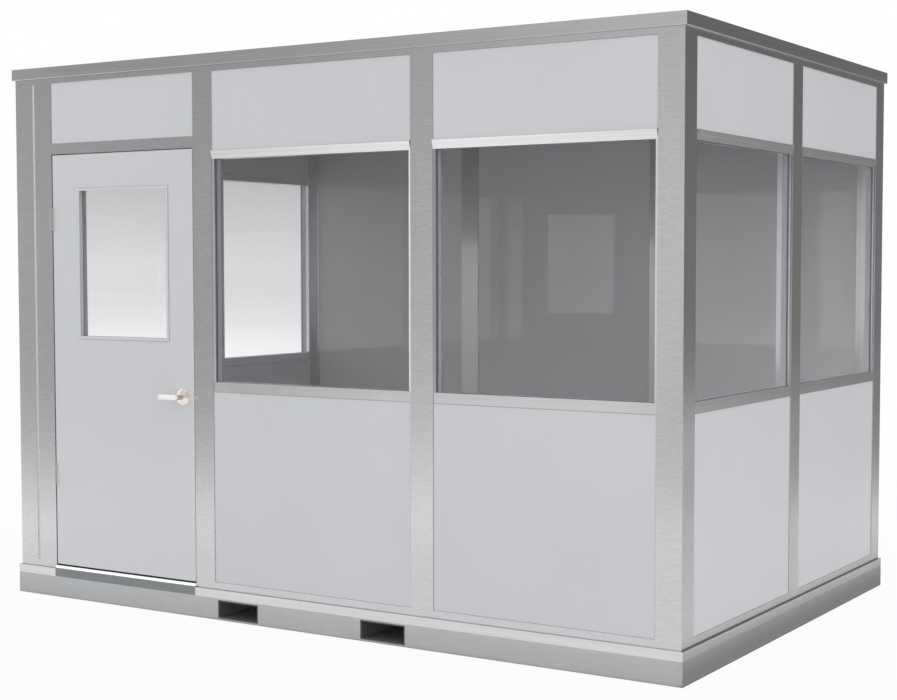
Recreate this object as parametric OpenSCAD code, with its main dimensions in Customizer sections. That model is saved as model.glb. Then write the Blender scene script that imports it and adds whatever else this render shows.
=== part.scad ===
// Modular office cabin on a steel base that a fork truck can lift.
// Extruded posts hold flat panels and fixed windows, and one door swings outwards.
// Origin at ground level in the middle of the plan, front towards -Y, sizes in millimetres.

/* [Plan] */
// Distance from post centre to post centre along a wall
bay_pitch = 1219.2; // [1000:0.1:1500]
// Bays along the front, the door bay among them
bays_long = 3; // [3:1:5]
// Bays along a side
bays_deep = 2; // [2:1:4]

/* [Heights] */
// Height of the steel base frame
base_h = 101.6; // [95:0.1:160]
// Height of the rail that edges the floor
rail_h = 39.4; // [25:0.1:60]
// Height of the wall over the head bar of the door
door_header_h = 321.7; // [200:0.1:900]
// Height of the fascia round the roof
fascia_h = 54.5; // [30:0.1:120]
// Height of the bottom wall track
track_h = 33.6; // [15:0.1:60]
// Height of the top wall track
top_track_h = 26; // [15:0.1:60]
// Depth of the windows' tops under the top of the wall
window_drop = 390.4; // [200:0.1:800]

/* [Walls] */
// Thickness of the walls over the posts
wall_t = 76.2; // [60:0.1:100]
// Wall of the extrusions
skin_t = 3.2; // [2:0.1:5]
// Face width of a post
post_w = 114.3; // [100:0.1:150]
// Width of the hollow core of a post
post_core_w = 57.15; // [30:0.05:70]
// Clearance of a panel's edge in its pocket
fit_gap = 0.5; // [0.2:0.1:0.9]
// Hairline left at a cut joint
joint_gap = 0.4; // [0.2:0.1:0.8]
// Strip of panel that shows between the corner post and the hinge post
slit_w = 15.45; // [5:0.05:200]

/* [Base] */
// Reach of the base past the wall faces
base_overhang = 11; // [5:0.1:40]
// Width of a base channel's flanges
channel_w = 44; // [30:0.5:60]
// Thickness of the base channels
channel_t = 6; // [4:0.1:9]
// Clear width of a fork pocket
fork_w = 225; // [180:1:300]
// Height of the base over the fork pockets
fork_cover = 13.4; // [13:0.1:40]
// Height of a fork pocket's floor over the ground
fork_z = 14.5; // [12.5:0.1:18]
// Wall of the fork tubes
fork_t = 6; // [4:0.1:7]
// Distance between the centres of the fork pockets
fork_pitch = 815; // [600:1:1100]
// Space between the joists
joist_pitch = 407.5; // [300:0.5:500]

/* [Windows] */
// Clear height of the glass
window_h = 1035.5; // [700:0.5:1060]
// Height of the window sill
sill_h = 45.5; // [25:0.5:70]
// Height of the window head
head_h = 39.5; // [25:0.5:60]
// Strip of the jamb that shows beside a post
jamb_show = 11; // [6:0.5:30]
// Reach of the head's sloped nose past the panel face
head_reach = 10.5; // [4:0.5:16]
// Set back of the jamb's sloped strip at the glass
jamb_slope = 3; // [1:0.5:8]
// Thickness of the glass
glass_t = 6; // [4:0.5:10]
// Depth from the panel face to the glass
glass_set = 15; // [13:0.5:30]
// Depth of glass held in the frame
glass_bite = 9; // [5:0.5:15]

/* [Door] */
// Width of the door leaf
leaf_w = 908; // [700:1:1000]
// Height of the door leaf
leaf_h = 2035; // [1950:1:2100]
// Thickness of the door leaf
leaf_t = 44.4; // [35:0.1:50]
// Running gap round the leaf
door_gap = 5; // [5:0.1:8]
// Gap between the leaf's foot and the threshold
foot_gap = 7.5; // [5:0.1:12]
// Set back of the leaf's face behind the post faces
leaf_set = 2; // [0.5:0.1:6]
// Bevel taken off the latch edge, over the leaf's thickness
latch_bevel = 2.8; // [2:0.1:4]
// Height of the threshold
threshold_h = 16; // [10:0.5:25]
// Height of the head bar over the door
door_head_h = 53.2; // [45:0.1:90]
// Width of the door stops
stop_w = 16; // [10:0.5:25]
// Width of the light's frame in the door
lite_w = 588; // [300:1:640]
// Height of the light's frame in the door
lite_h = 737; // [300:1:900]
// Distance of the light's frame from the top of the leaf
lite_drop = 165.5; // [100:0.5:400]
// Shift of the light from the middle of the leaf, towards the latch
lite_shift = 8; // [-40:1:40]
// Face width of the light's frame
lite_face = 13; // [10:0.5:30]
// Height of the light's frame over the leaf
lite_lift = 4; // [2:0.5:10]

/* [Hinges and lever] */
// Height of a hinge
hinge_h = 114.3; // [90:0.1:130]
// Height of the lower hinge's middle over the foot of the leaf
hinge_low = 452.5; // [150:0.5:500]
// Depth of the upper hinge's middle under the top of the leaf
hinge_drop = 314.5; // [150:0.5:500]
// Distance of the hinge axis in front of the wall face
hinge_stand = 9.5; // [7:0.1:12]
// Radius of the knuckles
knuckle_r = 5; // [4.5:0.1:6.5]
// Radius of the hinge pin
pin_r = 2.5; // [2:0.1:3.5]
// Thickness of a hinge leaf
hinge_t = 1.8; // [1.2:0.1:2.2]
// Depth of a hinge leaf in the door gap
hinge_d = 36; // [25:0.5:40]
// Distance of the lever's axis from the latch edge
backset = 69.85; // [55:0.05:80]
// Height of the lever's axis over the foot of the leaf
lever_rise = 871.5; // [800:0.5:1000]
// Radius of the roses
rose_r = 39; // [32:0.5:45]
// Thickness of a rose
rose_t = 13; // [9:0.5:16]
// Radius of the lever's hub
hub_r = 11; // [9:0.5:11]
// Length of the lever from its axis
lever_l = 101; // [80:1:130]
// Height of the lever's bar
lever_h = 23.5; // [22:0.5:34]
// Thickness of the lever's bar
lever_t = 13; // [9:0.5:18]
// Reach of the lever off the face of the leaf
lever_reach = 62; // [50:0.5:75]

/* [Roof] */
// Reach of the fascia past the wall faces
fascia_overhang = 12.7; // [8:0.1:40]
// Thickness of the fascia
fascia_t = 2.5; // [1.5:0.1:4]
// Sloped lip at the fascia's foot
fascia_lip = 2; // [1:0.5:7]
// Width of the fascia's top flange inside the wall face
fascia_top_w = 45; // [20:1:80]

/* [Hidden] */
$fn = 48;
// Overrun of all cuts
over = 1;
// Clearance between a turning part and a fixed one at the hinges and the lever
turn_gap = 0.3;
// Clearance of the hinge pin in its bores
pin_gap = 0.08;
// Radius of the spindle between the levers, and of its bore through the leaf
spindle_r = 5;
lock_bore_r = 27;
// Height of the roses' rims
rose_rim = 3;
// Rounding of the lever's bar
lever_round = 4;
// Height of the threshold's nose and of its inner edge, and width of its slopes
nose_h = 3;
back_h = 4;
nose_w = 11;
back_w = 14;
// Height of the lips that hold the door header, at the top of the head bar
door_head_lip = 20;
// Groove across a sill's face
sill_groove = 2;
sill_groove_z_share = 0.7;
// Lap of the light's frame over the edge of its cut-out
lite_lap = 6;
// Depth of a mitre, past any profile
mitre_reach = 150;
knuckles = 5;
quarter = 90;
diagonal = sqrt(2);

panel_t = wall_t - 2 * skin_t;
pocket = (post_w - post_core_w) / 2;
corner_core = post_w - pocket;
fork_h = base_h - fork_z - fork_cover;
floor_z = base_h + rail_h;
// The wall is as tall as the door, its head bar and the header over it
leaf_z = floor_z + threshold_h + foot_gap;
door_head_z = leaf_z + leaf_h + door_gap;
wall_top = door_head_z + door_head_h + door_header_h;
wall_h = wall_top - floor_z;
roof_top = wall_top + fascia_h;
panel_z = floor_z + skin_t;
panel_top = wall_top - skin_t;
// Windows hang from the top of the wall
window_top = wall_top - window_drop;
glass_top = window_top - head_h;
glass_z = glass_top - window_h;
sill_z = glass_z - sill_h;
glass_y = skin_t + glass_set;
groove_t = glass_t + 2 * turn_gap;

// The door bay is as wide as its posts, its gaps and its leaf ask for
hinge_post_x = post_w + slit_w;
door_lo = hinge_post_x + post_w;
door_hi = door_lo + leaf_w + 2 * door_gap;
door_bay = door_hi + post_w / 2;
office_l = door_bay + (bays_long - 1) * bay_pitch;
office_w = bays_deep * bay_pitch;
leaf_x = door_lo + door_gap;
header_z = door_head_z + door_head_h - door_head_lip;
stop_y = leaf_set + leaf_t + door_gap;
leaf_back = leaf_set + leaf_t;
lite_x = leaf_x + (leaf_w - lite_w) / 2 + lite_shift;
lite_z = leaf_z + leaf_h - lite_drop - lite_h;
lite_glass_y = leaf_set + (leaf_t - glass_t) / 2;
lever_x = leaf_x + leaf_w - backset;
lever_z = leaf_z + lever_rise;
hinge_x = door_lo + door_gap / 2;
hinge_rises = [hinge_low, leaf_h - hinge_drop];
knuckle_h = hinge_h / knuckles;
fork_places = [-fork_pitch / 2, fork_pitch / 2];

function front_centre(i) = i == 0 ? 0 : door_bay + (i - 1) * bay_pitch;
function front_lo(i) = i == 0 ? post_w : front_centre(i) + post_w / 2;
function front_hi(i) = i == bays_long - 1 ? office_l - post_w : front_centre(i + 1) - post_w / 2;
function side_lo(i) = i == 0 ? post_w : i * bay_pitch + post_w / 2;
function side_hi(i) = i == bays_deep - 1 ? office_w - post_w : (i + 1) * bay_pitch - post_w / 2;

// Clear width of each bay, from post edge to post edge
window_bays = [for (i = [1 : bays_long - 1]) [front_lo(i), front_hi(i)]];
back_bays = [for (i = [0 : bays_long - 1]) [front_lo(i), front_hi(i)]];
side_bays = [for (i = [0 : bays_deep - 1]) [side_lo(i), side_hi(i)]];
slit_bay = [post_w, hinge_post_x];
door_bay_run = [door_lo, door_hi];

// Joists stand at the joist pitch, and leave the fork tubes their room
joist_count = floor((office_l / 2 - 2 * channel_w) / joist_pitch);
joist_room = fork_w / 2 + fork_t + channel_w / 2;
joist_places = [
    for (i = [-joist_count : joist_count])
        if (abs(abs(i * joist_pitch) - fork_pitch / 2) > joist_room) i * joist_pitch
];

panel_colour = "#c8cacc";
aluminium_colour = "#b4b4b6";
bright_colour = "#e2e2e6";
steel_colour = "#b2b6b8";
dark_steel_colour = "#6f7476";
glass_colour = "#b9c6cc88";
nickel_colour = "#c9c1b8";
deck_colour = "#b99b6b";
vinyl_colour = "#8d9092";

// Walls are drawn with x along the wall, y inwards from its outer face and z up
module on_front() {
    translate([-office_l / 2, -office_w / 2, 0]) children();
}

module on_back() {
    mirror([0, 1, 0]) on_front() children();
}

module on_right() {
    rotate([0, 0, quarter]) translate([-office_w / 2, -office_l / 2, 0]) children();
}

module on_left() {
    mirror([1, 0, 0]) on_right() children();
}

// Extrudes a profile of depth and height along the wall
module run(from, to) {
    translate([from, 0, 0]) rotate([quarter, 0, quarter]) linear_extrude(to - from) children();
}

// The same from corner to corner, cut to a mitre at both ends
module mitred_run(span) {
    intersection() {
        run(-mitre_reach, span + mitre_reach) children();
        translate([0, 0, -over]) linear_extrude(roof_top + 2 * over) polygon([
            [-mitre_reach + joint_gap / 2, -mitre_reach],
            [span + mitre_reach - joint_gap / 2, -mitre_reach],
            [span - mitre_reach - joint_gap / 2, mitre_reach],
            [mitre_reach + joint_gap / 2, mitre_reach]
        ]);
    }
}

// Base

module channel_profile() {
    translate([-base_overhang, 0]) difference() {
        square([channel_w, base_h]);
        translate([channel_t, channel_t]) square([channel_w, base_h - 2 * channel_t]);
    }
}

module fork_cuts() {
    for (x = fork_places)
        translate([
            office_l / 2 + x - fork_w / 2 - fork_t - turn_gap,
            -base_overhang - over,
            fork_z - fork_t - turn_gap
        ])
            cube([
                fork_w + 2 * fork_t + 2 * turn_gap,
                channel_w + 2 * over,
                fork_h + 2 * fork_t + 2 * turn_gap
            ]);
}

module long_beam() {
    difference() {
        mitred_run(office_l) channel_profile();
        fork_cuts();
    }
}

module base_front_beam() {
    color(steel_colour) on_front() long_beam();
}

module base_back_beam() {
    color(steel_colour) on_back() long_beam();
}

module base_side_beams() {
    color(steel_colour) {
        on_right() mitred_run(office_w) channel_profile();
        on_left() mitred_run(office_w) channel_profile();
    }
}

module base_joists() {
    joist_l = office_w + 2 * base_overhang - 2 * channel_w;
    color(steel_colour) for (x = joist_places)
        translate([x - channel_w / 2, joist_l / 2, 0]) rotate([quarter, 0, 0]) linear_extrude(joist_l)
            difference() {
                square([channel_w, base_h]);
                translate([channel_t, channel_t]) square([channel_w, base_h - 2 * channel_t]);
            }
}

module fork_pockets() {
    tube_l = office_w + 2 * base_overhang;
    color(steel_colour) for (x = fork_places)
        translate([x - fork_w / 2, tube_l / 2, fork_z]) rotate([quarter, 0, 0]) linear_extrude(tube_l)
            difference() {
                translate([-fork_t, -fork_t]) square([fork_w + 2 * fork_t, fork_h + 2 * fork_t]);
                square([fork_w, fork_h]);
            }
}

// Floor

module floor_deck() {
    edge = base_overhang - skin_t - fit_gap;
    color(deck_colour) translate([-office_l / 2 - edge, -office_w / 2 - edge, base_h])
        cube([office_l + 2 * edge, office_w + 2 * edge, rail_h - skin_t]);
}

module floor_finish() {
    color(vinyl_colour) translate([-office_l / 2 + wall_t, -office_w / 2 + wall_t, floor_z - skin_t])
        cube([office_l - 2 * wall_t, office_w - 2 * wall_t, skin_t]);
}

module rail_profile() {
    translate([-base_overhang, base_h]) square([skin_t, rail_h]);
    translate([-base_overhang, floor_z - skin_t]) square([base_overhang + wall_t, skin_t]);
}

module base_rails() {
    color(bright_colour) {
        on_front() difference() {
            mitred_run(office_l) rail_profile();
            translate([door_lo - joint_gap, -base_overhang - over, base_h - over]) cube([
                door_hi - door_lo + 2 * joint_gap,
                base_overhang + wall_t + 2 * over,
                rail_h + 2 * over
            ]);
        }
        on_back() mitred_run(office_l) rail_profile();
        on_right() mitred_run(office_w) rail_profile();
        on_left() mitred_run(office_w) rail_profile();
    }
}

module door_sill_plate() {
    color(dark_steel_colour) on_front() run(door_lo, door_hi) rail_profile();
}

module threshold() {
    color(bright_colour) on_front() translate([0, 0, floor_z]) run(door_lo, door_hi) polygon([
        [-base_overhang, 0],
        [-base_overhang, nose_h],
        [-base_overhang + nose_w, threshold_h],
        [wall_t - back_w, threshold_h],
        [wall_t, back_h],
        [wall_t, 0]
    ]);
}

// Tracks

module track_profile(height) {
    difference() {
        square([wall_t, height]);
        translate([skin_t, skin_t]) square([panel_t, height]);
    }
}

module bottom_track(from, to) {
    translate([0, 0, floor_z]) run(from, to) track_profile(track_h);
}

module top_track(from, to) {
    translate([0, 0, wall_top]) mirror([0, 0, 1]) run(from, to) track_profile(top_track_h);
}

// On the sides the outer lip of a track runs on across the corner posts
module side_bottom_track() {
    bottom_track(corner_core, office_w - corner_core);
    translate([skin_t, 0, floor_z]) cube([office_w - 2 * skin_t, skin_t, track_h]);
}

module side_top_track() {
    top_track(corner_core, office_w - corner_core);
    translate([skin_t, 0, wall_top - top_track_h]) cube([office_w - 2 * skin_t, skin_t, top_track_h]);
}

module bottom_tracks() {
    color(aluminium_colour) {
        on_front() for (bay = concat([slit_bay], window_bays)) bottom_track(bay[0], bay[1]);
        on_back() for (bay = back_bays) bottom_track(bay[0], bay[1]);
        on_right() side_bottom_track();
        on_left() side_bottom_track();
    }
}

module top_tracks() {
    color(aluminium_colour) {
        on_front() for (bay = concat([slit_bay, door_bay_run], window_bays)) top_track(bay[0], bay[1]);
        on_back() for (bay = back_bays) top_track(bay[0], bay[1]);
        on_right() side_top_track();
        on_left() side_top_track();
    }
}

// Posts

module corner_profile() {
    difference() {
        union() {
            square([post_w, skin_t]);
            square([skin_t, post_w]);
            square([corner_core, wall_t]);
            square([wall_t, corner_core]);
            translate([0, wall_t - skin_t]) square([post_w, skin_t]);
            translate([wall_t - skin_t, 0]) square([skin_t, post_w]);
        }
        translate([skin_t, skin_t]) square([corner_core - 2 * skin_t, wall_t - 2 * skin_t]);
        translate([skin_t, skin_t]) square([wall_t - 2 * skin_t, corner_core - 2 * skin_t]);
    }
}

// Room for a side track at one end of a corner post
module side_track_cut(z, height) {
    translate([-over, skin_t, z]) cube([skin_t + over, post_w, height]);
    translate([-over, corner_core, z]) cube([wall_t + 2 * over, post_w, height]);
}

module corner_post() {
    color(aluminium_colour) on_front() difference() {
        translate([0, 0, floor_z]) linear_extrude(wall_h) corner_profile();
        side_track_cut(floor_z - over, track_h + over);
        side_track_cut(wall_top - top_track_h, top_track_h + over);
    }
}

module front_left_corner_post() {
    corner_post();
}

module front_right_corner_post() {
    mirror([1, 0, 0]) corner_post();
}

module back_left_corner_post() {
    mirror([0, 1, 0]) corner_post();
}

module back_right_corner_post() {
    mirror([1, 0, 0]) mirror([0, 1, 0]) corner_post();
}

module core_profile(from, to) {
    difference() {
        translate([from, 0]) square([to - from, wall_t]);
        translate([from + skin_t, skin_t]) square([to - from - 2 * skin_t, panel_t]);
    }
}

// An H section with a hollow core; a door post has no pocket on the door's side
module post_profile(left_pocket, right_pocket) {
    square([post_w, skin_t]);
    translate([0, wall_t - skin_t]) square([post_w, skin_t]);
    core_profile(left_pocket, post_w - right_pocket);
}

module full_post(x, left_pocket, right_pocket) {
    color(aluminium_colour) translate([x, 0, floor_z]) linear_extrude(wall_h)
        post_profile(left_pocket, right_pocket);
}

module front_hinge_post() {
    on_front() full_post(hinge_post_x, pocket, 0);
}

module front_latch_post() {
    on_front() full_post(door_hi, 0, pocket);
}

module front_window_posts() {
    on_front() for (i = [2 : 1 : bays_long - 1]) full_post(front_centre(i) - post_w / 2, pocket, pocket);
}

module back_posts() {
    on_back() for (i = [1 : bays_long - 1]) full_post(front_centre(i) - post_w / 2, pocket, pocket);
}

// A side post's core stands in the tracks, and its faces stop at their lips
module side_post(x) {
    color(aluminium_colour) translate([x, 0, 0]) {
        translate([0, 0, floor_z + track_h])
            linear_extrude(wall_h - track_h - top_track_h) post_profile(pocket, pocket);
        translate([pocket, skin_t, panel_z]) linear_extrude(panel_top - panel_z) difference() {
            square([post_core_w, panel_t]);
            translate([skin_t, 0]) square([post_core_w - 2 * skin_t, panel_t]);
        }
    }
}

module side_posts() {
    on_right() for (i = [1 : bays_deep - 1]) side_post(i * bay_pitch - post_w / 2);
    on_left() for (i = [1 : bays_deep - 1]) side_post(i * bay_pitch - post_w / 2);
}

// Panels

module panel(bay, z_from, z_to) {
    color(panel_colour) translate([bay[0] - pocket + fit_gap, skin_t, z_from])
        cube([bay[1] - bay[0] + 2 * pocket - 2 * fit_gap, panel_t, z_to - z_from]);
}

module lower_panels(bays) {
    for (bay = bays) panel(bay, panel_z, sill_z);
}

module header_panels(bays) {
    for (bay = bays) panel(bay, window_top, panel_top);
}

module front_lower_panels() {
    on_front() lower_panels(window_bays);
}

module front_header_panels() {
    on_front() {
        header_panels(window_bays);
        color(panel_colour) translate([door_lo + joint_gap / 2, skin_t, header_z])
            cube([door_hi - door_lo - joint_gap, panel_t, panel_top - header_z]);
    }
}

module door_filler_strip() {
    on_front() panel(slit_bay, panel_z, panel_top);
}

module right_lower_panels() {
    on_right() lower_panels(side_bays);
}

module right_header_panels() {
    on_right() header_panels(side_bays);
}

module left_lower_panels() {
    on_left() lower_panels(side_bays);
}

module left_header_panels() {
    on_left() header_panels(side_bays);
}

module back_panels() {
    on_back() for (bay = back_bays) panel(bay, panel_z, panel_top);
}

// Windows

// A bar in the pockets, with a sloped nose that throws water off between the posts
module window_head(bay) {
    run(bay[0] - pocket + fit_gap, bay[1] + pocket - fit_gap) difference() {
        translate([skin_t, glass_top]) square([panel_t, head_h]);
        translate([glass_y - turn_gap, glass_top - over]) square([groove_t, glass_bite + over]);
    }
    run(bay[0] + joint_gap, bay[1] - joint_gap) polygon([
        [skin_t - head_reach, window_top],
        [skin_t + over, window_top],
        [skin_t + over, glass_top],
        [skin_t, glass_top]
    ]);
}

module window_sill(bay) {
    run(bay[0] - pocket + fit_gap, bay[1] + pocket - fit_gap) difference() {
        translate([skin_t, sill_z]) square([panel_t, sill_h]);
        translate([glass_y - turn_gap, glass_z - glass_bite]) square([groove_t, glass_bite + over]);
        translate([skin_t - over, sill_z + sill_h * sill_groove_z_share])
            square([sill_groove + over, sill_groove]);
    }
}

module window_jamb_profile() {
    jamb_w = pocket - fit_gap + jamb_show;
    difference() {
        polygon([
            [0, skin_t],
            [jamb_w - jamb_show, skin_t],
            [jamb_w, skin_t + jamb_slope],
            [jamb_w, wall_t - skin_t],
            [0, wall_t - skin_t]
        ]);
        translate([jamb_w - glass_bite, glass_y - turn_gap]) square([glass_bite + over, groove_t]);
    }
}

module window_frame(bay) {
    color(bright_colour) {
        window_head(bay);
        window_sill(bay);
        translate([0, 0, glass_z + joint_gap]) linear_extrude(window_h - 2 * joint_gap) {
            translate([bay[0] - pocket + fit_gap, 0]) window_jamb_profile();
            translate([bay[1] + pocket - fit_gap, 0]) mirror([1, 0]) window_jamb_profile();
        }
    }
}

module window_glass(bay) {
    edge = glass_bite - jamb_show - fit_gap;
    color(glass_colour) translate([bay[0] - edge, glass_y, glass_z - glass_bite])
        cube([bay[1] - bay[0] + 2 * edge, glass_t, window_h + 2 * glass_bite - fit_gap]);
}

module front_window_frames() {
    on_front() for (bay = window_bays) window_frame(bay);
}

module front_window_glass() {
    on_front() for (bay = window_bays) window_glass(bay);
}

module right_window_frames() {
    on_right() for (bay = side_bays) window_frame(bay);
}

module right_window_glass() {
    on_right() for (bay = side_bays) window_glass(bay);
}

module left_window_frames() {
    on_left() for (bay = side_bays) window_frame(bay);
}

module left_window_glass() {
    on_left() for (bay = side_bays) window_glass(bay);
}

// Door

module door_head() {
    color(bright_colour) on_front() run(door_lo, door_hi) difference() {
        translate([0, door_head_z]) square([wall_t, door_head_h]);
        translate([skin_t, header_z]) square([panel_t, door_head_lip + over]);
        translate([skin_t, door_head_z + skin_t])
            square([panel_t, header_z - door_head_z - 2 * skin_t]);
    }
}

module door_stops() {
    stop_z = floor_z + threshold_h;
    color(aluminium_colour) on_front() {
        for (x = [door_lo, door_hi - stop_w])
            translate([x, stop_y, stop_z]) cube([stop_w, wall_t - stop_y, door_head_z - stop_z]);
        translate([door_lo + stop_w + joint_gap, stop_y, door_head_z - stop_w])
            cube([door_hi - door_lo - 2 * stop_w - 2 * joint_gap, wall_t - stop_y, stop_w]);
    }
}

module door_leaf() {
    color(panel_colour) on_front() difference() {
        translate([leaf_x, leaf_set, leaf_z]) linear_extrude(leaf_h) polygon([
            [0, 0],
            [leaf_w, 0],
            [leaf_w - latch_bevel, leaf_t],
            [0, leaf_t]
        ]);
        translate([lite_x + lite_lap, leaf_set - over, lite_z + lite_lap])
            cube([lite_w - 2 * lite_lap, leaf_t + 2 * over, lite_h - 2 * lite_lap]);
        translate([lever_x, leaf_set - over, lever_z]) rotate([-quarter, 0, 0])
            cylinder(h = leaf_t + 2 * over, r = lock_bore_r);
    }
}

module door_glass() {
    edge = lite_lap + fit_gap;
    color(glass_colour) on_front() translate([lite_x + edge, lite_glass_y, lite_z + edge])
        cube([lite_w - 2 * edge, glass_t, lite_h - 2 * edge]);
}

// One half of the light's frame: a flange on the leaf and a neck down to the glass
module lite_half(face_y, neck_to_y) {
    edge = lite_lap + fit_gap;
    flange_y = neck_to_y > face_y ? face_y - lite_lift : face_y;
    neck_y = min(face_y, neck_to_y);
    translate([lite_x, 0, lite_z]) difference() {
        union() {
            translate([0, flange_y, 0]) cube([lite_w, lite_lift, lite_h]);
            translate([edge, neck_y, edge])
                cube([lite_w - 2 * edge, abs(neck_to_y - face_y), lite_h - 2 * edge]);
        }
        translate([lite_face, min(flange_y, neck_y) - over, lite_face])
            cube([lite_w - 2 * lite_face, leaf_t + 2 * over, lite_h - 2 * lite_face]);
    }
}

module door_glass_frame() {
    color(panel_colour) on_front() {
        lite_half(leaf_set, lite_glass_y);
        lite_half(leaf_back, lite_glass_y + glass_t);
    }
}

// Lever set

module on_lever_axis(y) {
    on_front() translate([lever_x, y, lever_z]) children();
}

// A round cover with a low rim and a domed face, open at the hub
module rose() {
    rise = rose_t - rose_rim;
    dome_r = (rose_r * rose_r + rise * rise) / (2 * rise);
    difference() {
        intersection() {
            cylinder(h = rose_t, r = rose_r);
            translate([0, 0, rose_t - dome_r]) sphere(dome_r);
        }
        translate([0, 0, -over]) cylinder(h = rose_t + 2 * over, r = hub_r + turn_gap);
    }
}

module door_roses() {
    color(nickel_colour) {
        on_lever_axis(leaf_set) rotate([quarter, 0, 0]) rose();
        on_lever_axis(leaf_back) rotate([-quarter, 0, 0]) rose();
    }
}

module soft_rectangle(size, radius) {
    translate([radius, 0]) square([size[0] - 2 * radius, size[1]]);
    translate([0, radius]) square([size[0], size[1] - 2 * radius]);
    for (x = [radius, size[0] - radius])
        for (y = [radius, size[1] - radius])
            translate([x, y]) circle(radius);
}

// A hub with a round head, and a straight bar with softened edges towards the hinge side
module lever_handle() {
    bar_z = lever_reach - lever_t;
    cylinder(h = lever_reach - lever_round, r = hub_r);
    translate([0, 0, bar_z]) cylinder(h = lever_t - lever_round, r = lever_h / 2);
    translate([0, 0, lever_reach - lever_round])
        cylinder(h = lever_round, r1 = lever_h / 2, r2 = lever_h / 2 - lever_round);
    intersection() {
        run(-lever_l, 0) translate([-lever_h / 2, bar_z]) soft_rectangle([lever_h, lever_t], lever_round);
        translate([-lever_l, -lever_h / 2, 0]) linear_extrude(lever_reach + over)
            soft_rectangle([lever_l + lever_h, lever_h], lever_round);
    }
}

module door_lever() {
    color(nickel_colour) {
        on_lever_axis(leaf_set) rotate([quarter, 0, 0]) lever_handle();
        on_lever_axis(leaf_back) mirror([0, 1, 0]) rotate([quarter, 0, 0]) lever_handle();
        on_lever_axis(leaf_set - over) rotate([-quarter, 0, 0])
            cylinder(h = leaf_t + 2 * over, r = spindle_r);
    }
}

// Hinges

// One knuckle in every two belongs to the frame's leaf, and the pin stays with it
module hinge_places() {
    on_front() for (rise = hinge_rises)
        translate([hinge_x, -hinge_stand, leaf_z + rise - hinge_h / 2]) children();
}

module knuckle_set(first) {
    for (i = [first : 2 : knuckles - 1])
        translate([0, 0, i * knuckle_h + turn_gap / 2]) children();
}

// A leaf plate on the post or on the door's edge, with a tab to each of its knuckles
module hinge_plate(first, plate_x) {
    plate_y = knuckle_r + turn_gap;
    translate([plate_x, plate_y, turn_gap / 2])
        cube([hinge_t, hinge_d - plate_y, hinge_h - turn_gap]);
    knuckle_set(first) {
        cylinder(h = knuckle_h - turn_gap, r = knuckle_r);
        translate([plate_x, 0, 0]) cube([hinge_t, plate_y + over, knuckle_h - turn_gap]);
    }
}

module frame_hinge_leaves() {
    color(nickel_colour) hinge_places() {
        hinge_plate(0, -door_gap / 2);
        cylinder(h = hinge_h, r = pin_r);
    }
}

module door_hinge_leaves() {
    color(nickel_colour) hinge_places() difference() {
        hinge_plate(1, door_gap / 2 - hinge_t);
        translate([0, 0, -over]) cylinder(h = hinge_h + 2 * over, r = pin_r + pin_gap);
    }
}

// Roof

module roof_panels() {
    panel_low = wall_top + fascia_t;
    color(panel_colour) on_front() for (i = [0 : bays_long - 1])
        translate([front_centre(i) + joint_gap / 2, 0, panel_low])
            cube([
                (i == bays_long - 1 ? office_l : front_centre(i + 1)) - front_centre(i) - joint_gap,
                office_w,
                fascia_h - 2 * fascia_t
            ]);
}

// A channel with a sloped lip at its foot, open towards the roof
module fascia_profile() {
    inner_lip = fascia_lip + fascia_t * (diagonal - 1);
    translate([-fascia_overhang, wall_top]) polygon([
        [0, fascia_lip],
        [fascia_lip, 0],
        [fascia_overhang + wall_t, 0],
        [fascia_overhang + wall_t, fascia_t],
        [inner_lip, fascia_t],
        [fascia_t, inner_lip],
        [fascia_t, fascia_h - fascia_t],
        [fascia_overhang + fascia_top_w, fascia_h - fascia_t],
        [fascia_overhang + fascia_top_w, fascia_h],
        [0, fascia_h]
    ]);
}

module front_fascia() {
    color(aluminium_colour) on_front() mitred_run(office_l) fascia_profile();
}

module back_fascia() {
    color(aluminium_colour) on_back() mitred_run(office_l) fascia_profile();
}

module side_fascias() {
    color(aluminium_colour) {
        on_right() mitred_run(office_w) fascia_profile();
        on_left() mitred_run(office_w) fascia_profile();
    }
}

base_front_beam();
base_back_beam();
base_side_beams();
base_joists();
fork_pockets();
floor_deck();
floor_finish();
base_rails();
door_sill_plate();
threshold();
bottom_tracks();
top_tracks();
front_left_corner_post();
front_right_corner_post();
back_left_corner_post();
back_right_corner_post();
front_hinge_post();
front_latch_post();
front_window_posts();
side_posts();
back_posts();
front_lower_panels();
front_header_panels();
door_filler_strip();
right_lower_panels();
right_header_panels();
left_lower_panels();
left_header_panels();
back_panels();
front_window_frames();
front_window_glass();
right_window_frames();
right_window_glass();
left_window_frames();
left_window_glass();
door_head();
door_stops();
door_leaf();
door_glass();
door_glass_frame();
door_roses();
door_lever();
door_hinge_leaves();
frame_hinge_leaves();
roof_panels();
front_fascia();
back_fascia();
side_fascias();
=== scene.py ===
"""Looks of the modular office: finishes, seals and small fittings, studio light and camera."""
import math
from functools import partial

import bmesh
import bpy
from mathutils import Matrix, Vector
from mathutils.geometry import tessellate_polygon


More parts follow.
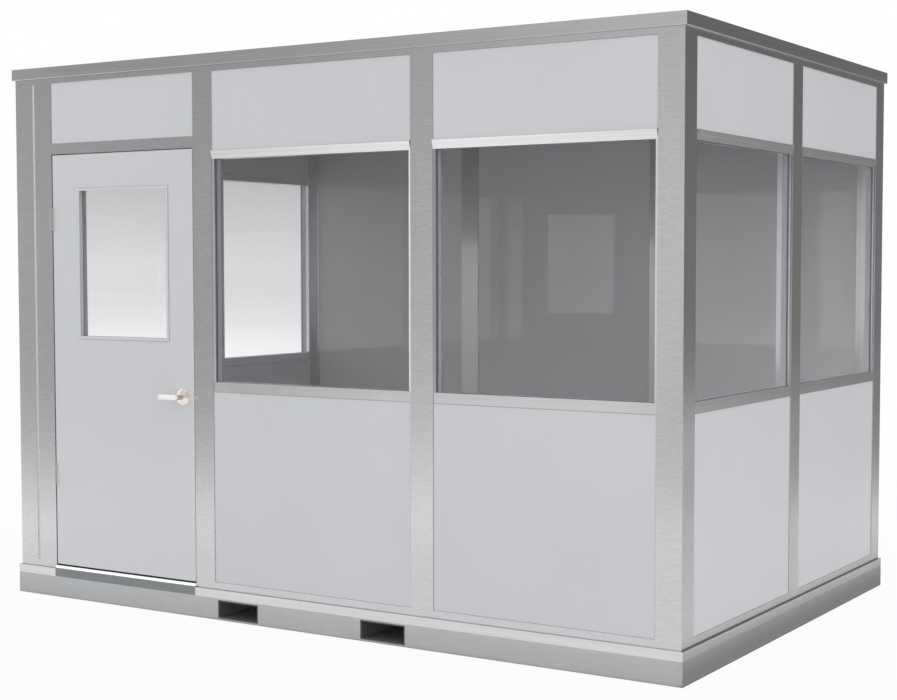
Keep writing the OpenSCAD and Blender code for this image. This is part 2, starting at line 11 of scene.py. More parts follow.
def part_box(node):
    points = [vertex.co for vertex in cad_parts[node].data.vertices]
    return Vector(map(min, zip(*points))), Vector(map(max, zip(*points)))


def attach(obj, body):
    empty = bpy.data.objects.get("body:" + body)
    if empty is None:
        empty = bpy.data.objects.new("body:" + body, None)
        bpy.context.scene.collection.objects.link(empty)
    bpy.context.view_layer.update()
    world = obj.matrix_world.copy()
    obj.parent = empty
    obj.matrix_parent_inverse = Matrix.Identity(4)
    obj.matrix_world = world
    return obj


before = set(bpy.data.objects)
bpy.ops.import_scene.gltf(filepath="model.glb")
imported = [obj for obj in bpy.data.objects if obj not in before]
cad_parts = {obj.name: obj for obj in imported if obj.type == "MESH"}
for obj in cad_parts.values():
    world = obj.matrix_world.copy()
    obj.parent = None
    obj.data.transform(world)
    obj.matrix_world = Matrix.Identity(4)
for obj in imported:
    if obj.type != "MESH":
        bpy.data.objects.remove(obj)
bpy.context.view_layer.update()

MM = 0.001
BLACK = (0, 0, 0, 1)
WHITE = (1, 1, 1, 1)

# Photograph and camera: pixels, millimetres of the sensor, metres and degrees
PHOTO_W = 897
FOCAL_PX = 1648.2
CENTRE_OFF_PX = (17.82, 4.10)
SENSOR_MM = 36
CAMERA_PLACE = (4.49388, -7.09741, 1.65601)
CAMERA_TURN = 31.90
CAMERA_DIP = 3.082
CAMERA_ROLL = -0.033
# A camera that is tilted up by this much looks level
LEVEL_TILT = 90
# Rows of a matrix that turns and moves
MATRIX_SIZE = 4

# Tone curve of a screen: a straight foot and a power curve
SCREEN_TOP = 255
SCREEN_FOOT_END = 0.04045
SCREEN_FOOT_SLOPE = 12.92
SCREEN_CURVE_OFF = 0.055
SCREEN_CURVE_POWER = 2.4


def linear_channel(level):
    """Brightness of one screen channel, both from 0 to 1."""
    if level <= SCREEN_FOOT_END:
        return level / SCREEN_FOOT_SLOPE
    return ((level + SCREEN_CURVE_OFF) / (1 + SCREEN_CURVE_OFF)) ** SCREEN_CURVE_POWER


def linear(hex_colour):
    """The shader colour of a colour written as on a screen."""
    return (*[linear_channel(channel / SCREEN_TOP) for channel in bytes.fromhex(hex_colour)], 1)


# Node helpers

# Values between which most of a noise pattern lies
NOISE_ENDS = (0.3, 0.7)
EVEN = (1, 1, 1)


def new_material(name):
    """A material with its node tree and its main shader."""
    material = bpy.data.materials.new(name)
    material.use_nodes = True
    return material, material.node_tree, material.node_tree.nodes["Principled BSDF"]


def feed(tree, socket, value):
    """Links a value to a socket, or writes a constant there."""
    if isinstance(value, bpy.types.NodeSocket):
        tree.links.new(value, socket)
    else:
        socket.default_value = value


def set_inputs(tree, node, values):
    """Links or writes several inputs of a node by their names."""
    for name, value in values.items():
        feed(tree, node.inputs[name], value)


def noise(tree, scale, detail, squeeze=EVEN):
    """Noise over the part's own coordinates, from 0 to 1: patches per metre, detail, squeeze by axis."""
    place = tree.nodes.new("ShaderNodeTexCoord")
    mapping = tree.nodes.new("ShaderNodeMapping")
    set_inputs(tree, mapping, {"Vector": place.outputs["Object"], "Scale": squeeze})
    texture = tree.nodes.new("ShaderNodeTexNoise")
    set_inputs(tree, texture, {"Vector": mapping.outputs["Vector"], "Scale": scale, "Detail": detail})
    return texture.outputs["Fac"]


def between(tree, factor, low, high, ends=NOISE_ENDS):
    """A number that goes from low to high as the factor goes from one end to the other."""
    node = tree.nodes.new("ShaderNodeMapRange")
    set_inputs(tree, node, {
        "Value": factor, "From Min": ends[0], "From Max": ends[1], "To Min": low, "To Max": high,
    })
    return node.outputs["Result"]


def pattern(tree, scale, detail, squeeze=EVEN, ends=NOISE_ENDS):
    """Noise that fills the range from 0 to 1."""
    return between(tree, noise(tree, scale, detail, squeeze), 0, 1, ends)


def blend_colours(tree, factor, low, high):
    """A colour between two colours, each written or linked."""
    node = tree.nodes.new("ShaderNodeMix")
    node.data_type = "RGBA"
    set_inputs(tree, node, {"A": low, "B": high, "Factor": factor})
    return node.outputs["Result"]


def shade(colour, share):
    """A colour made lighter or darker, at most white."""
    return (*[min(channel * share, 1) for channel in colour[:3]], 1)


def varied_colour(tree, factor, colour, shares):
    """A colour that a pattern makes darker and lighter by two shares."""
    low, high = [shade(colour, share) for share in shares]
    return blend_colours(tree, factor, low, high)


def varied_number(tree, factor, number, shares):
    """A number that noise makes smaller and larger by two shares."""
    low, high = [number * share for share in shares]
    return between(tree, factor, low, high)


def bump(tree, shader, height, depth_mm, strength):
    """Gives the shader a bumpy surface."""
    node = tree.nodes.new("ShaderNodeBump")
    set_inputs(tree, node, {"Height": height, "Distance": depth_mm * MM, "Strength": strength})
    tree.links.new(node.outputs["Normal"], shader.inputs["Normal"])


def level_ramp(tree, value, levels):
    """A brightness that follows a list of values and levels."""
    low, high = levels[0][0], levels[-1][0]
    node = tree.nodes.new("ShaderNodeValToRGB")
    stops = node.color_ramp.elements
    stops[0].position = 0
    stops[-1].position = 1
    for at, _ in levels[1:-1]:
        stops.new((at - low) / (high - low))
    for stop, (_, level) in zip(stops, levels):
        stop.color = (level, level, level, 1)
    tree.links.new(between(tree, value, 0, 1, (low, high)), node.inputs["Fac"])
    return node.outputs["Color"]


def math_node(tree, operation, *values):
    """A sum, product or other operation on numbers and links."""
    node = tree.nodes.new("ShaderNodeMath")
    node.operation = operation
    for socket, value in zip(node.inputs, values):
        feed(tree, socket, value)
    return node.outputs["Value"]


def times(tree, first, second):
    """The product of two numbers or links."""
    return math_node(tree, "MULTIPLY", first, second)


def split_place(tree, kind):
    """The three coordinates of a point or a direction."""
    place = tree.nodes.new("ShaderNodeTexCoord")
    axes = tree.nodes.new("ShaderNodeSeparateXYZ")
    tree.links.new(place.outputs[kind], axes.inputs["Vector"])
    return axes.outputs["X"], axes.outputs["Y"], axes.outputs["Z"]


def mix_shaders(tree, factor, first, second):
    """One shader or the other, or a share of both."""
    node = tree.nodes.new("ShaderNodeMixShader")
    for socket, value in zip(node.inputs, (factor, first, second)):
        tree.links.new(value, socket)
    return node.outputs["Shader"]


def shade_by_height(tree, colour, shares):
    """A linked colour times a share that follows the height."""
    height = split_place(tree, "Object")[2]
    return blend_colours(tree, level_ramp(tree, height, shares), BLACK, colour)


# Finishes
# A pattern is given as patches per metre, detail, squeeze by axis and the values that it is cut off at,
# the last two only where they differ from the usual; a bump as depth in mm and strength

SKIN_MOTTLE = (2.2, 4)
SKIN_MOTTLE_SHARES = (0.985, 1.015)
SKIN_PATCHES = (9, 3)
SKIN_ROUGH_SHARES = (0.96, 1.04)
SKIN_PEEL = (420, 3)
SKIN_PEEL_BUMP = (0.03, 0.1)


def satin_skin(name, colour, rough, gloss=1.0, depth_roughs=None):
    """A smooth prefinished skin with a faint mottle; its roughness can be scaled by the depth."""
    material, tree, shader = new_material(name)
    roughness = varied_number(tree, noise(tree, *SKIN_PATCHES), rough, SKIN_ROUGH_SHARES)
    if depth_roughs:
        depth = split_place(tree, "Object")[1]
        roughness = times(tree, roughness, level_ramp(tree, depth, depth_roughs))
    set_inputs(tree, shader, {
        "Base Color": varied_colour(tree, pattern(tree, *SKIN_MOTTLE), colour, SKIN_MOTTLE_SHARES),
        "Roughness": roughness,
        "Specular IOR Level": gloss,
    })
    bump(tree, shader, noise(tree, *SKIN_PEEL), *SKIN_PEEL_BUMP)
    return material


# Brushed metal: strokes that show in its colour and a finer grain in its gloss
BRUSH_STROKES = (34, 6)
BRUSH_STROKE_ENDS = (0.32, 0.68)
BRUSH_TONE_SHARES = (0.96, 1.04)
BRUSH_GRAIN = (160, 4)
BRUSH_ROUGH_SHARES = (0.88, 1.12)
BRUSH_BUMP = (0.02, 0.1)
# Ways of the grain: short level strokes, long lines along the bars of all walls, clouds, upright
# strokes, and strokes around a hub that stands off the door
ACROSS = (1, 1, 5)
LENGTHWISE = (0.04, 0.04, 4)
CLOUDY = (0.06, 0.06, 0.06)
UPRIGHT = (4, 4, 1)
AROUND_HUB = (1, 4, 1)


def brushed_tone(tree, colour, grain):
    """A metal's colour with the strokes of the brush."""
    strokes = pattern(tree, *BRUSH_STROKES, grain, BRUSH_STROKE_ENDS)
    return varied_colour(tree, strokes, colour, BRUSH_TONE_SHARES)


def brushed_metal(name, colour, rough, grain=ACROSS, metallic=1.0, height_shares=None):
    """Metal with a fine grain; painted shade can darken it by height."""
    material, tree, shader = new_material(name)
    streaks = noise(tree, *BRUSH_GRAIN, grain)
    tone = brushed_tone(tree, colour, grain)
    if height_shares:
        tone = shade_by_height(tree, tone, height_shares)
    set_inputs(tree, shader, {
        "Base Color": tone,
        "Roughness": varied_number(tree, streaks, rough, BRUSH_ROUGH_SHARES),
        "Metallic": metallic,
    })
    bump(tree, shader, streaks, *BRUSH_BUMP)
    return material


# Back posts: satin metal outside, duller in the room; there painted light makes them paler and a painted
# shadow darkens them towards the top
ROOM_PAINTED_LIGHT_SHARE = 1.31
ROOM_METAL_SHARE = 0.3
ROOM_POST_ROUGH = 0.35
ROOM_POST_SHADOW_SHARES = [
    (0.9, 1), (1.6, 1), (1.75, 0.9), (1.82, 0.6), (1.9, 0.47), (2.0, 0.4), (2.2, 0.32), (2.3, 0.32),
]


def two_sided_metal(name, colour, rough, in_room_shares):
    """Brushed metal outside that is duller on the side of the room, where painted light makes it paler and
    painted shadow darkens it towards the top.
    """
    material, tree, shader = new_material(name)
    in_room = level_ramp(tree, split_place(tree, "Object")[1], in_room_shares)
    outside = brushed_tone(tree, colour, ACROSS)
    # Painted light and painted shadow on the side of the room
    inside = brushed_tone(tree, shade(colour, ROOM_PAINTED_LIGHT_SHARE), ACROSS)
    inside = shade_by_height(tree, inside, ROOM_POST_SHADOW_SHARES)
    set_inputs(tree, shader, {
        "Base Color": blend_colours(tree, in_room, outside, inside),
        "Roughness": between(tree, in_room, rough, ROOM_POST_ROUGH),
        "Metallic": between(tree, in_room, 1.0, ROOM_METAL_SHARE),
    })
    bump(tree, shader, noise(tree, *BRUSH_GRAIN, ACROSS), *BRUSH_BUMP)
    return material


# Painted steel: mill marks, patches of roughness and a fine bump
MILL_MARKS = (28, 6, (0.4, 0.4, 2))
MILL_TONE_SHARES = (0.96, 1.03)
MILL_PATCHES = (60, 4)
MILL_ROUGH_SHARES = (0.85, 1.2)
MILL_METAL_SHARE = 0.85
MILL_PEEL = (240, 4)
MILL_BUMP = (0.06, 0.2)
# Painted shade of the steel by height, in metres: a painted contact shadow darkens the foot of the base
FOOT_SHADE_SHARES = [(0, 0.62), (0.004, 0.72), (0.009, 0.87), (0.03, 0.91), (0.1, 1)]


def painted_steel(name, colour, rough):
    """Rolled steel under thin paint: a soft metallic sheen with mill marks, and painted shade that darkens
    it at the ground.
    """
    material, tree, shader = new_material(name)
    paint = varied_colour(tree, pattern(tree, *MILL_MARKS), colour, MILL_TONE_SHARES)
    set_inputs(tree, shader, {
        # Painted shade: the colour darkens towards the ground as a contact shadow
        "Base Color": shade_by_height(tree, paint, FOOT_SHADE_SHARES),
        "Roughness": varied_number(tree, noise(tree, *MILL_PATCHES), rough, MILL_ROUGH_SHARES),
        "Metallic": MILL_METAL_SHARE,
    })
    bump(tree, shader, noise(tree, *MILL_PEEL), *MILL_BUMP)
    return material


GLASS_TINT = (0.985, 0.98, 0.99, 1)
GLASS_IOR = 1.5
GLASS_RIPPLE = (3, 3)
GLASS_ROUGHS = (0.0, 0.012)
GLASS_SHADOW_TINT = (0.99, 0.99, 0.99, 1)
DUST_COLOUR = (0.9, 0.9, 0.92, 1)
DUST_PATCHES = (6, 5)
DUST_PATCH_SHARES = (0.9, 1.1)


def clear_glass(name, dust_shares, depth_shares=None):
    """Clear float glass that lets light through, with a thin film of dust by height and depth."""
    material, tree, shader = new_material(name)
    set_inputs(tree, shader, {
        "Base Color": GLASS_TINT,
        "Transmission Weight": 1.0,
        "IOR": GLASS_IOR,
        "Roughness": between(tree, noise(tree, *GLASS_RIPPLE), *GLASS_ROUGHS),
    })
    through = tree.nodes.new("ShaderNodeBsdfTransparent")
    through.inputs["Color"].default_value = GLASS_SHADOW_TINT
    film = tree.nodes.new("ShaderNodeBsdfDiffuse")
    film.inputs["Color"].default_value = DUST_COLOUR
    _, depth, height = split_place(tree, "Object")
    patches = between(tree, noise(tree, *DUST_PATCHES), *DUST_PATCH_SHARES)
    dust = times(tree, level_ramp(tree, height, dust_shares), patches)
    if depth_shares:
        dust = times(tree, dust, level_ramp(tree, depth, depth_shares))
    glass = mix_shaders(tree, dust, shader.outputs["BSDF"], film.outputs["BSDF"])
    path = tree.nodes.new("ShaderNodeLightPath")
    surface = mix_shaders(tree, path.outputs["Is Shadow Ray"], glass, through.outputs["BSDF"])
    tree.links.new(surface, tree.nodes["Material Output"].inputs["Surface"])
    return material


SCUFFS = (30, 5, (1, 0.2, 1))
SCUFF_TONE_SHARES = (0.9, 1.1)
SCUFF_ROUGH = 0.65
SCUFF_GLOSS = 0.2
SCUFF_BUMP = (0.1, 0.3)


def scuffed_paint(name, colour, mouth_shade_shares):
    """Matt paint in the fork tubes with scuffs, and painted shade that darkens it towards both mouths."""
    material, tree, shader = new_material(name)
    scuffs = pattern(tree, *SCUFFS)
    tone = varied_colour(tree, scuffs, colour, SCUFF_TONE_SHARES)
    reach = math_node(tree, "ABSOLUTE", split_place(tree, "Object")[1])
    set_inputs(tree, shader, {
        # Painted shade: darker towards the mouths of the tubes
        "Base Color": blend_colours(tree, level_ramp(tree, reach, mouth_shade_shares), BLACK, tone),
        "Roughness": SCUFF_ROUGH,
        "Specular IOR Level": SCUFF_GLOSS,
    })
    bump(tree, shader, scuffs, *SCUFF_BUMP)
    return material


PLY_GRAIN = (14, 6, (0.08, 1.6, 3))
PLY_TONE_SHARES = (0.75, 1.1)
PLY_ROUGH = 0.7
PLY_BUMP = (0.2, 0.4)


def plywood(name, colour):
    """Sanded structural plywood, grain along the office."""
    material, tree, shader = new_material(name)
    grain = pattern(tree, *PLY_GRAIN)
    set_inputs(tree, shader, {
        "Base Color": varied_colour(tree, grain, colour, PLY_TONE_SHARES),
        "Roughness": PLY_ROUGH,
    })
    bump(tree, shader, grain, *PLY_BUMP)
    return material


VINYL_CHIPS = (110, 2, EVEN, (0.42, 0.58))
VINYL_TONE_SHARES = (0.82, 1.12)
VINYL_PATCHES = (5, 3)
VINYL_ROUGHS = (0.3, 0.42)
VINYL_BUMP = (0.05, 0.2)


def vinyl_floor(name, colour):
    """Sheet flooring with fine chips."""
    material, tree, shader = new_material(name)
    chips = pattern(tree, *VINYL_CHIPS)
    set_inputs(tree, shader, {
        "Base Color": varied_colour(tree, chips, colour, VINYL_TONE_SHARES),
        "Roughness": between(tree, noise(tree, *VINYL_PATCHES), *VINYL_ROUGHS),
    })
    bump(tree, shader, chips, *VINYL_BUMP)
    return material


RUBBER_COLOUR = (0.012, 0.012, 0.013, 1)
RUBBER_DUSTY = (0.03, 0.03, 0.032, 1)
RUBBER_DUST = (70, 4)
RUBBER_ROUGH = 0.6
RUBBER_GLOSS = 0.2
RUBBER_PEEL = (300, 3)
RUBBER_BUMP = (0.05, 0.3)


def black_rubber(name):
    """Extruded seal, matt and a little dusty."""
    material, tree, shader = new_material(name)
    set_inputs(tree, shader, {
        "Base Color": blend_colours(tree, pattern(tree, *RUBBER_DUST), RUBBER_COLOUR, RUBBER_DUSTY),
        "Roughness": RUBBER_ROUGH,
        "Specular IOR Level": RUBBER_GLOSS,
    })
    bump(tree, shader, noise(tree, *RUBBER_PEEL), *RUBBER_BUMP)
    return material


def shares_over_foot(node, shares):
    """Shades of a node at their real heights, from heights over its foot in mm."""
    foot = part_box(node)[0][2]
    return [(foot + rise * MM, share) for rise, share in shares]


def by_side(node, room, outside):
    """Values on either side of the middle of a node in the back wall."""
    low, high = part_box(node)
    middle = (low[1] + high[1]) / 2
    return [(middle - MM, room), (middle + MM, outside)]


# Colours and roughness that two finishes have in common
PANEL_COLOUR = linear("c8cacd")
POST_COLOUR = (0.74, 0.725, 0.74, 1)
POST_ROUGH = 0.20
FASCIA_COLOUR = (0.76, 0.755, 0.76, 1)
FASCIA_ROUGH = 0.18
# The back panels are glossy towards the room and satin outside
BACK_GLOSS_ROUGH = 0.02
BACK_SATIN_ROUGH = 0.3
# Painted shade by the height over the foot, in mm: painted shade along both edges of the threshold's front,
# and painted shade on the underside of the front fascia's lip
NOSING_EDGE_SHADE_SHARES = [(0, 0.3), (3, 0.35), (4.5, 1), (13.5, 1), (15, 0.35), (16, 0.3)]
FASCIA_LIP_SHADE_SHARES = [(0, 0.5), (0.6, 0.5), (1.4, 1)]
# Painted shade in the fork tubes by the distance from the middle, in metres: darker towards both mouths
FORK_MOUTH_SHADE_SHARES = [(0.87, 1), (1.03, 0.65), (1.13, 0.36), (1.23, 0.19)]
# Film of dust on the glass by height, and on the right side also by depth, in metres
DUST_SHARES = [(1.1, 0.012), (2.15, 0.012)]
RIGHT_DUST_SHARES = [(1.1, 0.14), (1.6, 0.086), (2.15, 0.034)]
RIGHT_DEPTH_SHARES = [(-0.6, 0.7), (0.6, 1)]

PANEL = satin_skin("wall_panel", PANEL_COLOUR, rough=0.3, gloss=0.6)
GLOSS_PANEL = satin_skin(
    "back_panel", PANEL_COLOUR, rough=1,
    depth_roughs=by_side("back_panels", BACK_GLOSS_ROUGH, BACK_SATIN_ROUGH),
)
DOOR = satin_skin("door_skin", linear("cacccf"), rough=0.18)
ROOF = satin_skin("roof_panel", linear("cccdce"), rough=0.35, gloss=0.5)
POST = brushed_metal("post", POST_COLOUR, POST_ROUGH)
BACK_POST = two_sided_metal("back_post", POST_COLOUR, POST_ROUGH, by_side("back_posts", 1, 0))
FASCIA = brushed_metal("fascia", FASCIA_COLOUR, FASCIA_ROUGH, LENGTHWISE)
# Painted shade on the underside of the front fascia's lip
FRONT_FASCIA = brushed_metal(
    "front_fascia", FASCIA_COLOUR, FASCIA_ROUGH, LENGTHWISE,
    height_shares=shares_over_foot("front_fascia", FASCIA_LIP_SHADE_SHARES),
)
# One trim in two tones: painted paler on the front as a painted reflection of the bright floor, and darker
# on the sides as painted shade
HEAD_TRIM = brushed_metal("head_trim", (0.97, 0.965, 0.975, 1), rough=0.24, grain=LENGTHWISE)
SIDE_TRIM = brushed_metal("side_trim", (0.83, 0.825, 0.835, 1), rough=0.24, grain=LENGTHWISE)
FRAME_BAR = brushed_metal("window_frame", (0.83, 0.815, 0.83, 1), rough=0.24, grain=CLOUDY)
RAIL = brushed_metal("base_rail", (0.84, 0.83, 0.85, 1), rough=0.28, grain=LENGTHWISE)
# Painted shade along both edges of the threshold's front
NOSING = brushed_metal(
    "threshold", (0.93, 0.93, 0.94, 1), rough=0.25, grain=LENGTHWISE,
    height_shares=shares_over_foot("threshold", NOSING_EDGE_SHADE_SHARES),
)
BASE = painted_steel("base_steel", (0.575, 0.58, 0.59, 1), rough=0.36)
SILL = painted_steel("sill_plate", (0.283, 0.303, 0.310, 1), rough=0.4)
FORK = scuffed_paint("fork_tube", linear("bcbcbf"), FORK_MOUTH_SHADE_SHARES)
DECK = plywood("floor_deck", linear("b99b6b"))
VINYL = vinyl_floor("floor_finish", linear("cfcfcc"))
GLASS = clear_glass("glass", DUST_SHARES)
RIGHT_GLASS = clear_glass("right_glass", RIGHT_DUST_SHARES, RIGHT_DEPTH_SHARES)
NICKEL = brushed_metal(
    "satin_nickel", (0.98, 0.905, 0.87, 1), rough=0.24, grain=AROUND_HUB, metallic=0.7,
)
LEVER_NICKEL = brushed_metal(
    "lever_nickel", (1.0, 0.945, 0.93, 1), rough=0.3, grain=AROUND_HUB, metallic=0.2,
)
COLLAR_BRONZE = brushed_metal("collar_bronze", (0.66, 0.54, 0.47, 1), rough=0.3, grain=AROUND_HUB)
STEEL = brushed_metal("hinge_steel", (0.80, 0.75, 0.73, 1), rough=0.32, grain=UPRIGHT)
RUBBER = black_rubber("rubber")
SEAL = satin_skin("seal", linear("98999c"), rough=0.5, gloss=0.4)
GASKET_GREY = satin_skin("glazing_gasket", linear("72727c"), rough=0.5, gloss=0.4)
BEAD_PAINT = satin_skin("glazing_bead", linear("d0cfde"), rough=0.3, gloss=0.6)

FINISHES = {
    PANEL: [
        "front_lower_panels", "front_header_panels", "door_filler_strip", "right_lower_panels",
        "right_header_panels", "left_lower_panels", "left_header_panels",
    ],
    GLOSS_PANEL: ["back_panels"],
    DOOR: ["door_leaf", "door_glass_frame"],
    ROOF: ["roof_panels"],
    POST: [
        "bottom_tracks", "top_tracks", "front_left_corner_post", "front_right_corner_post",
        "back_left_corner_post", "back_right_corner_post", "front_hinge_post", "front_latch_post",
        "front_window_posts", "side_posts", "door_stops", "door_head",
    ],
    BACK_POST: ["back_posts"],
    FASCIA: ["back_fascia", "side_fascias"],
    FRONT_FASCIA: ["front_fascia"],
    FRAME_BAR: ["front_window_frames", "right_window_frames", "left_window_frames"],
    RAIL: ["base_rails"],
    NOSING: ["threshold"],
    BASE: ["base_front_beam", "base_back_beam", "base_side_beams", "base_joists"],
    FORK: ["fork_pockets"],
    SILL: ["door_sill_plate"],
    DECK: ["floor_deck"],
    VINYL: ["floor_finish"],
    GLASS: ["front_window_glass", "left_window_glass", "door_glass"],
    RIGHT_GLASS: ["right_window_glass"],
    NICKEL: ["door_roses"],
    LEVER_NICKEL: ["door_lever"],
    STEEL: ["door_hinge_leaves", "frame_hinge_leaves"],
}


def finish_nodes():
    """Gives every node of the model its finish."""
    for material, names in FINISHES.items():
        for name in names:
            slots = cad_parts[name].data.materials
            slots.clear()
            slots.append(material)


# Mesh helpers

RIGHT = Vector((1, 0, 0))
BACK = Vector((0, 1, 0))
UP = Vector((0, 0, 1))
# Direction along each wall and direction from its outer face into the room
WALLS = {"front": (RIGHT, BACK), "back": (RIGHT, -BACK), "right": (BACK, -RIGHT), "left": (BACK, RIGHT)}
WELD = 0.001 * MM


def corners(node):
    """The lowest and the highest corner of a node."""
    return [Vector(corner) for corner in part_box(node)]


def solid_boxes(node):
    """The boxes of the separate solids of one node."""
    form = bmesh.new()
    form.from_mesh(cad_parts[node].data)
    bmesh.ops.remove_doubles(form, verts=form.verts, dist=WELD)
    waiting = set(form.verts)
    boxes = []
    while waiting:
        reached = [waiting.pop()]
        for vert in reached:
            fresh = {edge.other_vert(vert) for edge in vert.link_edges} & waiting
            waiting -= fresh
            reached.extend(fresh)
        axes = list(zip(*[vert.co for vert in reached]))
        boxes.append((Vector([min(axis) for axis in axes]), Vector([max(axis) for axis in axes])))
    form.free()
    return sorted(boxes, key=lambda box: tuple(box[0]))


def add_piece(name, body, material, build):
    """A new piece from mesh code that rides on a body of the model."""
    form = bmesh.new()
    build(form)
    bmesh.ops.recalc_face_normals(form, faces=form.faces)
    mesh = bpy.data.meshes.new(name)
    form.to_mesh(mesh)
    form.free()
    mesh.materials.append(material)
    piece = bpy.data.objects.new(name, mesh)
    bpy.context.scene.collection.objects.link(piece)
    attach(piece, body)


def join_loops(form, first, second):
    """A band of faces between two loops of vertices."""
    for i, vert in enumerate(first):
        j = (i + 1) % len(first)
        form.faces.new((vert, first[j], second[j], second[i]))


def fill_between(form, outer, inner):
    """Flat faces between a loop of vertices and a loop inside it."""
    verts = outer + inner
    for triangle in tessellate_polygon([[vert.co for vert in loop] for loop in (outer, inner)]):
        form.faces.new([verts[i] for i in triangle])


def strip(form, ends, across, lift, profile):
    """A straight length of a profile in mm, closed at both ends."""
    loops = []
    for end in ends:
        loops.append([form.verts.new(end + (across * u + lift * v) * MM) for u, v in profile])
    join_loops(form, *loops)
    for loop in loops:
        form.faces.new(loop)


def span(box, direction):
    """The least and the greatest reach of a box along one direction."""
    return sorted(corner.dot(direction) for corner in box)


# Corners of an opening by the ends of its width and its height, and the ways from those ends inwards
OPENING_CORNERS = ((0, 0), (1, 0), (1, 1), (0, 1))
OPENING_EDGES = ("foot", "end", "head", "start")
INTO = (1, -1)
BOTH_FACES = (True, False)


def edging(form, box, wall, hidden, profile, outside=True, open_at=None):
    """A strip around the part of a pane or a panel that shows, on one of its faces."""
    along, inward = WALLS[wall]
    side, foot, head = [size * MM for size in hidden]
    start, end = span(box, along)
    widths = (start + side, end - side)
    heights = (box[0].z + foot, box[1].z - head)
    face = inward * span(box, inward)[0 if outside else 1]
    lift_way = -inward if outside else inward
    loops = []
    for i, j in OPENING_CORNERS:
        corner = along * widths[i] + face + UP * heights[j]
        inset_way = along * INTO[i] + UP * INTO[j]
        loops.append([
            form.verts.new(corner + (inset_way * inset + lift_way * lift) * MM) for inset, lift in profile
        ])
    for i, edge in enumerate(OPENING_EDGES):
        ends = (loops[i], loops[(i + 1) % len(loops)])
        if edge != open_at:
            join_loops(form, *ends)
            continue
        for loop in ends:
            form.faces.new(loop)


def edgings(form, boxes, wall, hidden, profile, faces=BOTH_FACES, open_at=None):
    """The strips of several panes or panels of one wall."""
    for box in boxes:
        for outside in faces:
            edging(form, box, wall, hidden, profile, outside, open_at)


def add_edgings(name, material, node, wall, *form_values, slot=None):
    """A piece with the strips of all panes or panels in one node of a wall."""
    def build(form):
        edgings(form, solid_boxes(node), wall, *form_values)

    add_piece(name, "office", material, build)


# Seals and trims of the walls

WINDOW_WALLS = ("front", "right", "left")
# Part of a pane or a panel that the wall hides: at its sides, its foot and its head, in mm
WINDOW_HIDDEN = (8.5, 9, 8.5)
FLANGE_HIDDEN = (-1.6, -1.6, -1.6)
LOWER_HIDDEN = (28.075, 30.4, 0)
HEADER_HIDDEN = (28.075, 0, 22.8)
FULL_HIDDEN = (28.075, 30.4, 22.8)
DOOR_HEADER_HIDDEN = (-0.2, 20, 22.8)
# Cross-sections of the strips: inset from the opening's edge, lift off the face, in mm
GASKET = [(0, 0), (1.6, 0), (1.6, 1), (1.2, 5), (0, 5.4)]
BEAD = [(0, 0), (1.5, 0), (1.5, 25), (1, 26), (0, 26)]
FLANGE_SEAL = [(0, 0), (1.6, 0), (1.6, 1.2), (0.6, 0.8)]
PANEL_SEAL = [(0, 0), (1.9, 0), (1.6, 1), (0.6, 1.9), (0, 2.1)]
CLOSING_BEAD = [(0, 0), (2.4, 0), (2, 1.2), (1.2, 2), (0, 2.4)]
# Cover strip of a window head: reach off the panel's face, height over the panel's foot, in mm
HEAD_TRIM_SECTION = [
    (10.6, -0.3), (11.3, -0.4), (11.3, -2.2), (1.1, -40.6), (-0.4, -40.6), (-0.4, -39.7), (0.2, -39.6),
]
HEAD_TRIM_GAP = 0.6
HEAD_TRIMS = {"front": HEAD_TRIM, "right": SIDE_TRIM, "left": SIDE_TRIM}


def add_wall_seals():
    """Glazing gaskets, inner glazing beads and panel seals of the walls."""
    for wall in WINDOW_WALLS:
        glass = f"{wall}_window_glass"
        lower = f"{wall}_lower_panels"
        add_edgings(f"{wall}_glazing_gaskets", GASKET_GREY, glass, wall, WINDOW_HIDDEN, GASKET, (True,))
        add_edgings(
            f"{wall}_glazing_beads", BEAD_PAINT, glass, wall, WINDOW_HIDDEN, BEAD, (False,),
            slot="window_frame",
        )
        add_edgings(f"{wall}_lower_seals", SEAL, lower, wall, LOWER_HIDDEN, PANEL_SEAL)
    for wall in ("right", "left"):
        header = f"{wall}_header_panels"
        add_edgings(
            f"{wall}_header_seals", SEAL, header, wall, HEADER_HIDDEN, PANEL_SEAL, BOTH_FACES, "foot",
        )
    add_edgings("back_panel_seals", SEAL, "back_panels", "back", FULL_HIDDEN, PANEL_SEAL)


def window_headers(wall):
    """The boxes of the header panels over the windows of a wall."""
    headers = solid_boxes(f"{wall}_header_panels")
    return headers[1:] if wall == "front" else headers


def head_trims(form, wall):
    """Cover strips on the sloped noses of one wall's window heads."""
    along, inward = WALLS[wall]
    side = (HEADER_HIDDEN[0] + HEAD_TRIM_GAP) * MM
    for box in window_headers(wall):
        start, end = span(box, along)
        foot = inward * span(box, inward)[0] + UP * box[0].z
        ends = (foot + along * (start + side), foot + along * (end - side))
        strip(form, ends, -inward, UP, HEAD_TRIM_SECTION)


def add_head_trims():
    """The bright cover strips of all window heads."""
    for wall, material in HEAD_TRIMS.items():
        add_piece(f"{wall}_head_trims", "office", material, partial(head_trims, wall=wall))


def add_front_header_seals():
    """Seals of the front headers; the one over the door is closed with metal beads."""
    door_header = solid_boxes("front_header_panels")[0]

    def seals(form):
        edgings(form, window_headers("front"), "front", HEADER_HIDDEN, PANEL_SEAL, open_at="foot")

    def beads(form):
        edgings(form, [door_header], "front", DOOR_HEADER_HIDDEN, CLOSING_BEAD)

    add_piece("front_header_seals", "office", SEAL, seals)
    add_piece("door_header_beads", "office", POST, beads)


